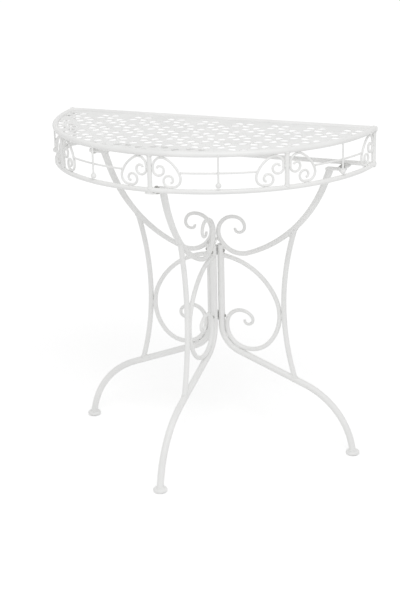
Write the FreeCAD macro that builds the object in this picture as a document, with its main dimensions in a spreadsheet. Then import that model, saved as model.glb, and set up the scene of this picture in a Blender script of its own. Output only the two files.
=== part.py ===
import FreeCAD, Part
import math
import os
from collections import namedtuple

import Sketcher
from FreeCAD import Placement, Rotation, Vector

# Demilune table in welded round bar, with three scrolled leg frames bolted together at a column.
# Millimetres, +Z up, back edge on +Y, origin on the floor under the middle of the whole table.
os.makedirs("parts", exist_ok=True)
doc = FreeCAD.newDocument("demilune_table")

# Driving dimensions: millimetres, degrees for leans and turns, plain ratios for shares
sizes = {
    # Whole table
    "table_width": 720,
    "table_height": 740,
    "apron_height": 86,
    "weld_gap": 0.2,
    "cut_overrun": 30,
    # Top frame bars
    "rim_bar": 12,
    "hoop_bar": 10,
    "post_bar": 9.5,
    # Perforated sheet
    "panel_sheet": 1.2,
    "panel_drop": 4.5,
    "rosette_pitch": 80,
    "rosette_setback": 56,
    "petal_margin": 4,
    "petal_reach": 26,
    "petal_tip": 4,
    "petal_width": 16,
    # Apron scrolls, wires and drops
    "apron_scroll_bar": 5,
    "apron_scroll_width": 57,
    "apron_upper_loop": 18,
    "apron_lower_loop": 17,
    "apron_outer_sweep": 60,
    "apron_curl_run": 7,
    "apron_curl_wide": 11.5,
    "apron_curl_middle": 11,
    "apron_curl_tight": 8.5,
    "apron_curl_end": 6,
    "apron_curl_end_turn": 80,
    "bay_wire_bar": 4,
    "drop_rod_bar": 4,
    "drop_ball": 11.5,
    "drop_ball_gap": 2.5,
    # Plates and bolts between the top frame and the legs
    "plate_thickness": 3,
    "plate_width": 20,
    "tab_reach": 27,
    "tab_bolt": 6,
    "tab_bolt_head": 11,
    "tab_bolt_head_height": 4,
    "bolt_clearance": 0.3,
    # Column
    "column_setback": 30,
    "column_slit": 3.4,
    "arm_slit": 0.8,
    "hub_height": 22,
    "hub_bolt": 4,
    "hub_bolt_head": 7.6,
    "hub_bolt_head_height": 2.2,
    "hub_bolt_rise": 20,
    # Arms
    "arm_top_bar": 16,
    "arm_bend_bar": 10.5,
    "arm_tip_bar": 6,
    "arm_drop_share": 0.2946,
    "arm_lean": 20,
    "arm_straight_share": 0.0438,
    "arm_sweep_share": 0.3984,
    "arm_sweep_turn": 51.2,
    "arm_bend_share": 0.0767,
    "arm_bend_turn": 79.8,
    "arm_curl_wide_share": 0.051,
    "arm_curl_wide_turn": 138.2,
    "arm_curl_middle_share": 0.0289,
    "arm_curl_middle_turn": 67.2,
    "arm_curl_tight_share": 0.019,
    "arm_curl_tight_turn": 103.9,
    "arm_curl_end_share": 0.0109,
    "arm_curl_end_turn": 87,
    # Lower legs and feet
    "leg_bar": 15,
    "leg_bend_share": 0.1465,
    "leg_slope": 21,
    "leg_straight_share": 0.3806,
    "leg_knee_share": 0.402,
    "leg_ankle_slope": 78.7,
    "leg_ankle_share": 0.0254,
    "foot_width": 31,
    "foot_height": 9,
    # Leg scrolls
    "leg_scroll_bar": 10,
    "leg_scroll_tip_bar": 6,
    "leg_scroll_drop": 7.5,
    "leg_scroll_nest_turn": 75.2,
    "leg_scroll_belly_share": 0.1407,
    "leg_scroll_belly_turn": 62.7,
    "leg_scroll_flank_share": 0.2204,
    "leg_scroll_flank_turn": 68.6,
    "leg_scroll_lead_turn": 12,
    "leg_scroll_curl_share": 0.0759,
    "leg_scroll_curl_turn": 128.7,
    "leg_scroll_tight_share": 0.0264,
    "leg_scroll_tight_turn": 132.5,
    "leg_scroll_end_share": 0.0175,
    "leg_scroll_end_turn": 100,
    # Braces
    "brace_bar": 11.5,
    "brace_arm_share": 0.489,
    "brace_leg_share": 0.855,
}

# Curves that grow with the table: the arms' with its width, the legs' with the column's height
arm_curves = ["arm_straight", "arm_sweep", "arm_bend"]
arm_curves += ["arm_curl_wide", "arm_curl_middle", "arm_curl_tight", "arm_curl_end"]
leg_curves = ["leg_bend", "leg_straight", "leg_knee", "leg_ankle", "leg_scroll_belly"]
leg_curves += ["leg_scroll_flank", "leg_scroll_curl", "leg_scroll_tight", "leg_scroll_end"]
curves = {"column_height": "=table_height - apron_height - arm_drop_share * table_width"}
curves.update({alias: f"={alias}_share * table_width" for alias in arm_curves})
curves.update({alias: f"={alias}_share * column_height" for alias in leg_curves})
sheet = doc.addObject("Spreadsheet::Sheet", "Sizes")
for row, (alias, value) in enumerate({**sizes, **curves}.items(), start=1):
    sheet.set(f"A{row}", alias)
    sheet.set(f"B{row}", str(value))
    sheet.setAlias(f"B{row}", alias)
doc.recompute()


def size(alias):
    return float(sheet.get(alias))


# A path in a plane: straight runs and arcs that meet in line, at (across, up) places
Run = namedtuple("Run", "start end heading turn radius centre alias")
Stop = namedtuple("Stop", "place heading diameter")
upright = Placement(Vector(), Rotation(Vector(1, 0, 0), 90))
sub_parts = []


def ahead(place, heading, distance):
    return place + Vector(math.cos(math.radians(heading)), math.sin(math.radians(heading)), 0) * distance


def line(place, heading, length):
    return Run(place, ahead(place, heading, length), heading, 0, 0, None, None)


def arc(place, heading, radius, turn, alias=None):
    side = math.copysign(90, turn)
    centre = ahead(place, heading + side, radius)
    return Run(place, ahead(centre, heading + turn - side, radius), heading, turn, radius, centre, alias)


def arc_to(place, heading, target):
    """The arc that leaves a place along a heading and ends at a target."""
    chord = target - place
    bearing = math.degrees(math.atan2(chord.y, chord.x))
    half_turn = (bearing - heading + 180) % 360 - 180
    radius = chord.Length / (2 * abs(math.sin(math.radians(half_turn))))
    return arc(place, heading, radius, 2 * half_turn)


def arc_through(first, middle, last):
    """The arc from the first place to the last that passes through the middle one."""
    spoke = first - Part.Arc(first, middle, last).toShape().Curve.Center
    side = math.copysign(90, (middle - first).cross(last - middle).z)
    heading = math.degrees(math.atan2(spoke.y, spoke.x)) + side
    return arc_to(first, heading, last)


def chain(place, heading, steps):
    """Runs that follow each other: a step is a radius's alias and a turn, or None and a length."""
    runs = []
    for alias, amount in steps:
        run = arc(place, heading, size(alias), amount, alias) if alias else line(place, heading, amount)
        runs.append(run)
        place = run.end
        heading += run.turn
    return runs


def turned_back(runs):
    """The same path walked from its far end."""
    flipped = []
    for run in reversed(runs):
        heading = run.heading + run.turn + 180
        flipped.append(run._replace(start=run.end, end=run.start, heading=heading, turn=-run.turn))
    return flipped


# Lower leg, worked up from the floor: distance out from the column's middle, and height
gap = size("weld_gap")
overrun = size("cut_overrun")
bar_out = (size("leg_bar") + size("column_slit")) / math.sqrt(2)
leg_steps = [
    ("leg_bend", 90 - size("leg_slope")),
    (None, size("leg_straight")),
    ("leg_knee", size("leg_slope") - size("leg_ankle_slope")),
    (None, size("leg_ankle") + overrun),
]
loose_leg = chain(Vector(bar_out, 0, 0), -90, leg_steps)
ankle_end = ahead(loose_leg[3].start, -size("leg_ankle_slope"), size("leg_ankle"))
bend_top = Vector(bar_out, size("foot_height") - ankle_end.y, 0)
foot_out = ankle_end.x

# Places that several pieces share, with the origin midway between the back and the foremost piece
front_reach = max(size("table_width") / 2, size("column_setback") + foot_out + size("foot_width") / 2)
back_y = front_reach / 2
rail_y = back_y - size("rim_bar") / 2
rim_radius = (size("table_width") - size("rim_bar")) / 2
rim_z = size("table_height") - size("rim_bar") / 2
hoop_base = size("table_height") - size("apron_height")
hoop_z = hoop_base + size("hoop_bar") / 2
corner_angle = math.degrees(math.asin((back_y - rail_y) / rim_radius))
along_x = Rotation(Vector(0, 1, 0), 90)


def bind(piece, **formulas):
    for name, formula in formulas.items():
        piece.setExpression(name, formula)
    return piece


def keep(piece, node):
    piece.Label = node
    sub_parts.append(piece)
    return piece


def cut(name, base, *tools):
    for tool in tools:
        piece = doc.addObject("Part::Cut", name)
        piece.Base = base
        piece.Tool = tool
        base = piece
    return base


def rod(name, diameter, length, place, turn=Rotation()):
    piece = doc.addObject("Part::Cylinder", name)
    piece.Placement = Placement(place, turn)
    return bind(piece, Radius=f"({diameter}) / 2", Height=length)


def hoop(name, diameter, height, turn, start):
    """Part of a ring round the middle of the back edge, from a start angle."""
    piece = doc.addObject("Part::Torus", name)
    piece.Placement = Placement(Vector(0, back_y, height), Rotation(Vector(0, 0, 1), 180 + start))
    bind(piece, Radius1="(Sizes.table_width - Sizes.rim_bar) / 2", Radius2=f"({diameter}) / 2")
    piece.Angle3 = turn
    return piece


def path_sketch(name, frame, runs):
    """A sketch of a path, its arcs tangent to each other and their radii tied to the sheet."""
    sketch = doc.addObject("Sketcher::SketchObject", name)
    sketch.Placement = frame.multiply(upright)
    ends = []
    for run in runs:
        if run.turn == 0:
            sketch.addGeometry(Part.LineSegment(run.start, run.end), False)
            ends.append((1, 2))
            continue
        spoke = (run.start if run.turn > 0 else run.end) - run.centre
        angle = math.atan2(spoke.y, spoke.x)
        ring = Part.Circle(run.centre, Vector(0, 0, 1), run.radius)
        sketch.addGeometry(Part.ArcOfCircle(ring, angle, angle + math.radians(abs(run.turn))), False)
        ends.append((1, 2) if run.turn > 0 else (2, 1))
    for index in range(len(runs) - 1):
        last, first = ends[index][1], ends[index + 1][0]
        sketch.addConstraint(Sketcher.Constraint("Tangent", index, last, index + 1, first))
    for index, run in enumerate(runs):
        if run.alias:
            number = sketch.addConstraint(Sketcher.Constraint("Radius", index, run.radius))
            sketch.renameConstraint(number, f"{run.alias}_{index}")
            sketch.setExpression(f"Constraints.{run.alias}_{index}", f"Sizes.{run.alias}")
    return sketch


def bent_bar(name, frame, runs, stops):
    """Round bar along a path, its diameter given at one or more stops."""
    sketch = path_sketch(f"{name}_path", frame, runs)
    sections = []
    for stop in stops:
        section = doc.addObject("Part::Circle", f"{name}_section")
        direction = ahead(Vector(), stop.heading, 1)
        facing = Rotation(Vector(0, 0, 1), Vector(direction.x, 0, direction.y))
        section.Placement = frame.multiply(Placement(Vector(stop.place.x, 0, stop.place.y), facing))
        sections.append(bind(section, Radius=f"({stop.diameter}) / 2"))
    bar = doc.addObject("Part::Sweep", name)
    bar.Sections = sections
    bar.Spine = (sketch, [f"Edge{index + 1}" for index in range(len(runs))])
    bar.Solid = True
    return bar


def start_of(run, diameter):
    return Stop(run.start, run.heading, diameter)


def end_of(run, diameter):
    return Stop(run.end, run.heading + run.turn, diameter)


def sketch_on(body, name, role):
    """A sketch on one of a body's own planes."""
    sketch = body.newObject("Sketcher::SketchObject", name)
    plane = next(item for item in body.Origin.OriginFeatures if item.Role == role)
    sketch.AttachmentSupport = [(plane, "")]
    sketch.MapMode = "FlatFace"
    return sketch


# Rim of the top: a bent hoop welded to the front of a straight back rail
span = 180 - 2 * corner_angle
rail_end = Vector(-size("table_width") / 2, rail_y, rim_z)
keep(rod("back_rail", "Sizes.rim_bar", "Sizes.table_width", rail_end, along_x), "top_back_rail")
rail_seat = rod("rail_seat", "Sizes.rim_bar + 2 * Sizes.weld_gap", "Sizes.table_width", rail_end, along_x)
rim = hoop("rim", "Sizes.rim_bar", rim_z, span, corner_angle)
keep(cut("rim_hoop", rim, rail_seat), "top_rim_hoop")

# Lower hoop and rail, in line under the rim, with ends flush with the hoop's outside
low_span = "Sizes.table_width - Sizes.rim_bar + Sizes.hoop_bar"
low_end = Vector(-rim_radius - size("hoop_bar") / 2, rail_y, hoop_z)
keep(rod("low_rail", "Sizes.hoop_bar", low_span, low_end, along_x), "lower_back_rail")
low_rail_seat = rod("low_rail_seat", "Sizes.hoop_bar + 2 * Sizes.weld_gap", low_span, low_end, along_x)
low_ring = hoop("low_ring", "Sizes.hoop_bar", hoop_z, span, corner_angle)
keep(cut("low_hoop", low_ring, low_rail_seat), "lower_hoop")

# Posts at the corners and every eighth of a turn, their ends shaped to the bars they meet
rim_seat = hoop("rim_seat", "Sizes.rim_bar + 2 * Sizes.weld_gap", rim_z, span, corner_angle)
low_seat = hoop("low_seat", "Sizes.hoop_bar + 2 * Sizes.weld_gap", hoop_z, span, corner_angle)
post_angles = {
    "left_corner": corner_angle,
    "left_front": 45,
    "front": 90,
    "right_front": 135,
    "right_corner": 180 - corner_angle,
}


def on_rim(angle, height, radius=rim_radius):
    """A place above or below the rim, its angle counted from the left corner round the front."""
    turn = math.radians(180 + angle)
    return Vector(radius * math.cos(turn), back_y + radius * math.sin(turn), height)


post_length = "Sizes.apron_height - Sizes.rim_bar / 2 - Sizes.hoop_bar / 2"
for place, angle in post_angles.items():
    post = rod(f"post_{place}_bar", "Sizes.post_bar", post_length, on_rim(angle, hoop_z))
    seats = [rim_seat, low_seat]
    if place.endswith("corner"):
        seats += [rail_seat, low_rail_seat]
    keep(cut(f"post_{place}_shaped", post, *seats), f"post_{place}")

# Top sheet, sunk a little inside the rim
sheet_top = size("table_height") - size("panel_drop")
sheet_base = sheet_top - size("panel_sheet")
bar_face = size("rim_bar") / 2 + gap
sheet_radius = rim_radius - bar_face
sheet_back = rail_y - bar_face - back_y
half_chord = math.sqrt(sheet_radius ** 2 - sheet_back ** 2)
back_angle = math.atan2(sheet_back, half_chord)
panel = doc.addObject("PartDesign::Body", "panel")
panel.Placement = Placement(Vector(0, back_y, sheet_base), Rotation())
outline = sketch_on(panel, "panel_outline", "XY_Plane")
rim_circle = Part.Circle(Vector(), Vector(0, 0, 1), sheet_radius)
outline.addGeometry(Part.ArcOfCircle(rim_circle, math.pi - back_angle, 2 * math.pi + back_angle), False)
back_corner = Vector(half_chord, sheet_back, 0)
outline.addGeometry(Part.LineSegment(back_corner, Vector(-half_chord, sheet_back, 0)), False)
outline.addConstraint(Sketcher.Constraint("Coincident", 0, 2, 1, 1))
outline.addConstraint(Sketcher.Constraint("Coincident", 1, 2, 0, 1))
outline.addConstraint(Sketcher.Constraint("Coincident", 0, 3, -1, 1))
outline.addConstraint(Sketcher.Constraint("Horizontal", 1))
number = outline.addConstraint(Sketcher.Constraint("Radius", 0, sheet_radius))
outline.renameConstraint(number, "sheet_radius")
outline.setExpression("Constraints.sheet_radius", "Sizes.table_width / 2 - Sizes.rim_bar - Sizes.weld_gap")
number = outline.addConstraint(Sketcher.Constraint("DistanceY", 1, 1, -1, 1, -sheet_back))
outline.renameConstraint(number, "sheet_back")
outline.setExpression("Constraints.sheet_back", "Sizes.rim_bar + Sizes.weld_gap")

# Rosettes of four teardrop holes, staggered, without the holes that would come too near the edge
petal_radius = size("petal_width") / 2
petal_middle = size("petal_reach") - petal_radius
petal_spread = math.degrees(math.acos(petal_radius / (petal_middle - size("petal_tip"))))
petals = []


def inside(place, radius):
    """Whether a round of the sheet lies clear of its edge."""
    clear = size("petal_margin") + radius
    return place.Length < sheet_radius - clear and place.y < sheet_back - clear


def pierce_petal(middle, bearing):
    """A hole with a point near the rosette's middle and a round outer end."""
    tip = ahead(middle, bearing, size("petal_tip"))
    bulb = ahead(middle, bearing, petal_middle)
    if not inside(tip, 0) or not inside(bulb, petal_radius):
        return
    petals.append(bulb)
    start = bearing + 180 + petal_spread
    finish = start + 360 - 2 * petal_spread
    ring = Part.Circle(bulb, Vector(0, 0, 1), petal_radius)
    outline.addGeometry(Part.ArcOfCircle(ring, math.radians(start), math.radians(finish)), False)
    outline.addGeometry(Part.LineSegment(ahead(bulb, finish, petal_radius), tip), False)
    outline.addGeometry(Part.LineSegment(tip, ahead(bulb, start, petal_radius)), False)


half_pitch = size("rosette_pitch") / 2
rows = int(sheet_radius / half_pitch) + 1
for row in range(-1, rows):
    row_y = -size("rosette_setback") - row * half_pitch
    for column in range(-rows, rows + 1):
        if (row + column) % 2:
            continue
        for bearing in range(45 * ((row + 1) % 2), 360, 90):
            pierce_petal(Vector(column * half_pitch, row_y, 0), bearing)
stamped = panel.newObject("PartDesign::Pad", "panel_stamped")
stamped.Profile = outline
bind(stamped, Length="Sizes.panel_sheet")
keep(panel, "top_panel")

# Apron scroll: one bar from an upper curl by the post, over the top and down to a lower curl
scroll_radius = size("apron_scroll_bar") / 2
near = size("post_bar") / 2 + gap + scroll_radius
far = near + size("apron_scroll_width")
high = rim_z - size("rim_bar") / 2 - gap - scroll_radius
low = hoop_z + size("hoop_bar") / 2 + gap + scroll_radius
upper_middle = Vector(near + size("apron_upper_loop"), high - size("apron_upper_loop"), 0)
lower_middle = Vector(far - size("apron_lower_loop"), low + size("apron_lower_loop"), 0)
from_upper = size("apron_outer_sweep") - size("apron_upper_loop")
from_lower = size("apron_outer_sweep") - size("apron_lower_loop")
between = lower_middle - upper_middle
reach = (from_upper ** 2 - from_lower ** 2 + between.Length ** 2) / (2 * between.Length)
bearing = math.degrees(math.atan2(between.y, between.x))
off_line = math.degrees(math.acos(reach / from_upper))
sweep_middle = ahead(upper_middle, bearing - off_line, from_upper)
leave = upper_middle - sweep_middle
arrive = lower_middle - sweep_middle
leave_angle = math.degrees(math.atan2(leave.y, leave.x))
arrive_angle = math.degrees(math.atan2(arrive.y, arrive.x))
curl = [
    (None, size("apron_curl_run")),
    ("apron_curl_wide", 90),
    ("apron_curl_middle", 90),
    ("apron_curl_tight", 90),
    ("apron_curl_end", size("apron_curl_end_turn")),
]
upper_curl = turned_back(chain(ahead(upper_middle, 180, size("apron_upper_loop")), -90, curl))
over_top = chain(upper_curl[-1].end, 90, [
    ("apron_upper_loop", leave_angle - 180),
    ("apron_outer_sweep", arrive_angle - leave_angle),
    ("apron_lower_loop", -90 - arrive_angle),
])
inward = [(alias, -amount if alias else amount) for alias, amount in curl]
lower_curl = chain(over_top[-1].end, -180, inward)
apron_runs = upper_curl + over_top + lower_curl
scroll_turn = 2 * math.degrees(math.asin(far / (2 * rim_radius)))
angles = list(post_angles.values())
scroll_ends = []
for angle, next_angle in zip(angles, angles[1:]):
    scroll_ends += [(angle, scroll_turn), (next_angle, -scroll_turn)]
for number, (angle, turn) in enumerate(scroll_ends, start=1):
    post_place = on_rim(angle, 0)
    chord = on_rim(angle + turn, 0) - post_place
    facing = Rotation(Vector(0, 0, 1), math.degrees(math.atan2(chord.y, chord.x)))
    frame = Placement(post_place, facing)
    stops = [start_of(apron_runs[0], "Sizes.apron_scroll_bar")]
    keep(bent_bar(f"apron_scroll_{number}", frame, apron_runs, stops), f"apron_scroll_{number}")

# Thin wire between the two scrolls of a bay, and a drop with a ball in front of it
wire_z = (high + low) / 2
wire_end = math.degrees((scroll_radius + gap) / rim_radius)
drop_radius = rim_radius + size("bay_wire_bar") / 2 + gap + size("drop_rod_bar") / 2
ball_z = hoop_z + size("hoop_bar") / 2 + size("drop_ball_gap") + size("drop_ball") / 2
ball_rise = "Sizes.hoop_bar + Sizes.drop_ball_gap + Sizes.drop_ball / 2"
rod_length = f"Sizes.apron_height - Sizes.rim_bar / 2 - ({ball_rise})"
for number, (angle, next_angle) in enumerate(zip(angles, angles[1:]), start=1):
    wire_start = angle + scroll_turn + wire_end
    wire_turn = next_angle - angle - 2 * (scroll_turn + wire_end)
    keep(hoop(f"wire_{number}", "Sizes.bay_wire_bar", wire_z, wire_turn, wire_start), f"bay_wire_{number}")
    middle = (angle + next_angle) / 2
    ball = doc.addObject("Part::Sphere", f"ball_{number}")
    ball.Placement = Placement(on_rim(middle, ball_z, drop_radius), Rotation())
    keep(bind(ball, Radius="Sizes.drop_ball / 2"), f"drop_ball_{number}")
    ball_seat = doc.addObject("Part::Sphere", f"ball_seat_{number}")
    ball_seat.Placement = ball.Placement
    bind(ball_seat, Radius="Sizes.drop_ball / 2 + Sizes.weld_gap")
    drop = rod(f"drop_{number}", "Sizes.drop_rod_bar", rod_length, on_rim(middle, ball_z, drop_radius))
    keep(cut(f"drop_{number}_shaped", drop, rim_seat, ball_seat), f"drop_rod_{number}")

# Rest of the leg frame's outline, in the same upright plane
column_y = back_y - size("column_setback")
bar_face_out = bar_out + size("leg_bar") / 2
arm_in = (size("arm_bend_bar") + size("arm_slit")) / math.sqrt(2)
tab_base = hoop_base - gap - 2 * size("plate_thickness")

# Arm: leans down from the tab, sweeps in to the column and curls back up over itself
arm_heading = 270 - size("arm_lean")
arm_steps = [
    (None, size("arm_straight")),
    ("arm_sweep", -size("arm_sweep_turn")),
    ("arm_bend", -size("arm_bend_turn")),
    ("arm_curl_wide", -size("arm_curl_wide_turn")),
    ("arm_curl_middle", -size("arm_curl_middle_turn")),
    ("arm_curl_tight", -size("arm_curl_tight_turn")),
    ("arm_curl_end", -size("arm_curl_end_turn")),
]
loose_arm = chain(Vector(0, tab_base, 0), arm_heading, arm_steps)
arm_top = Vector(arm_in + size("arm_curl_wide") - loose_arm[3].centre.x, tab_base, 0)
arm_runs = chain(arm_top, arm_heading, arm_steps)
arm_sweep_run, arm_bend_run = arm_runs[1:3]
arm_low = arm_bend_run.centre.y - size("arm_bend")

# Column bar above the leg's bend, up to the arm
seat_drop = math.sqrt(size("arm_bend") ** 2 - (arm_bend_run.centre.x - bar_face_out) ** 2)
bar_top = Vector(bar_out, arm_bend_run.centre.y - seat_drop, 0)
leg_runs = [line(bar_top, -90, bar_top.y - bend_top.y)] + chain(bend_top, -90, leg_steps)
leg_slope_run = leg_runs[2]

# Leg scroll: nests in the leg's bend, swings out to the brace and back in to the column
nest = size("leg_bend") - size("leg_bar") / 2 - size("leg_scroll_bar") / 2 - gap
nest_start = Vector(bar_out + size("leg_bend") - nest, bend_top.y, 0)
outward = [arc(nest_start, -90, nest, size("leg_scroll_nest_turn"))]
outward += chain(outward[0].end, -90 + size("leg_scroll_nest_turn"), [
    ("leg_scroll_belly", size("leg_scroll_belly_turn")),
    ("leg_scroll_flank", size("leg_scroll_flank_turn")),
])
flank_run = outward[2]
scroll_top = Vector(bar_out, arm_low - size("leg_scroll_drop"), 0)
outward.append(arc_to(flank_run.end, flank_run.heading + flank_run.turn, scroll_top))
inward = [arc(nest_start, 90, nest, -size("leg_scroll_lead_turn"))]
inward += chain(inward[0].end, 90 - size("leg_scroll_lead_turn"), [
    ("leg_scroll_curl", -size("leg_scroll_curl_turn")),
    ("leg_scroll_tight", -size("leg_scroll_tight_turn")),
    ("leg_scroll_end", -size("leg_scroll_end_turn")),
])

# Brace: one arc from the arm past the scroll's outermost point to the leg
brace_turn = arm_sweep_run.turn * size("brace_arm_share")
brace_at_arm = arc(arm_sweep_run.start, arm_sweep_run.heading, arm_sweep_run.radius, brace_turn)
arm_taper = size("arm_top_bar") - size("arm_bend_bar")
taper_length = overrun + size("arm_straight") + size("arm_sweep") * math.radians(size("arm_sweep_turn"))
used_length = overrun + size("arm_straight") + brace_at_arm.radius * math.radians(abs(brace_at_arm.turn))
arm_bar_here = size("arm_top_bar") - arm_taper * used_length / taper_length
brace_middle = Vector(
    flank_run.centre.x + size("leg_scroll_flank") + size("leg_scroll_bar") / 2 + gap + size("brace_bar") / 2,
    flank_run.centre.y,
    0,
)
brace_foot = ahead(leg_slope_run.start, leg_slope_run.heading, size("leg_straight") * size("brace_leg_share"))
brace_runs = [arc_through(brace_at_arm.end, brace_middle, brace_foot)]

# Heights of the two cores between the column bars, each with its bolts
head_face = bar_face_out + size("hub_bolt_head_height")
arm_clear = size("arm_bend") + size("arm_bend_bar") / 2
arm_under = arm_bend_run.centre.y - math.sqrt(arm_clear ** 2 - (arm_bend_run.centre.x - head_face) ** 2)
hub_heights = {
    "upper": (arm_under + scroll_top.y + size("leg_scroll_bar") / 2) / 2,
    "lower": bend_top.y + size("hub_bolt_rise"),
}
bolt_out = arm_top.x + size("tab_reach")


def plate(name, frame, length):
    """A flat plate from a square end to a round one, bored in the middle of the round end."""
    body = doc.addObject("PartDesign::Body", name)
    body.Placement = frame
    half = size("plate_width") / 2
    bore = size("tab_bolt") / 2 + size("bolt_clearance")
    outline = sketch_on(body, f"{name}_outline", "XY_Plane")
    outline.addGeometry(Part.LineSegment(Vector(length, half, 0), Vector(0, half, 0)), False)
    outline.addGeometry(Part.LineSegment(Vector(0, half, 0), Vector(0, -half, 0)), False)
    outline.addGeometry(Part.LineSegment(Vector(0, -half, 0), Vector(length, -half, 0)), False)
    ring = Part.Circle(Vector(length, 0, 0), Vector(0, 0, 1), half)
    outline.addGeometry(Part.ArcOfCircle(ring, -math.pi / 2, math.pi / 2), False)
    outline.addGeometry(Part.Circle(Vector(length, 0, 0), Vector(0, 0, 1), bore), False)
    for index, corner in enumerate(((1, 1), (2, 1), (3, 1))):
        outline.addConstraint(Sketcher.Constraint("Coincident", index, 2, *corner))
    outline.addConstraint(Sketcher.Constraint("Coincident", 3, 2, 0, 1))
    outline.addConstraint(Sketcher.Constraint("Coincident", 4, 3, 3, 3))
    number = outline.addConstraint(Sketcher.Constraint("Radius", 3, half))
    outline.renameConstraint(number, "round_end")
    outline.setExpression("Constraints.round_end", "Sizes.plate_width / 2")
    number = outline.addConstraint(Sketcher.Constraint("Radius", 4, bore))
    outline.renameConstraint(number, "bore")
    outline.setExpression("Constraints.bore", "Sizes.tab_bolt / 2 + Sizes.bolt_clearance")
    pad = body.newObject("PartDesign::Pad", f"{name}_pad")
    pad.Profile = outline
    bind(pad, Length="Sizes.plate_thickness")
    return body


def hexagon(name, height, place):
    piece = doc.addObject("Part::Prism", name)
    piece.Polygon = 6
    piece.Placement = Placement(place, Rotation())
    return bind(piece, Circumradius="Sizes.tab_bolt_head / sqrt(3)", Height=height)


def fuse(name, base, tool):
    piece = doc.addObject("Part::Fuse", name)
    piece.Base = base
    piece.Tool = tool
    return piece


def group(name, members):
    piece = doc.addObject("Part::Compound", f"{name}_group")
    piece.Links = members
    return keep(piece, name)


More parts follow.
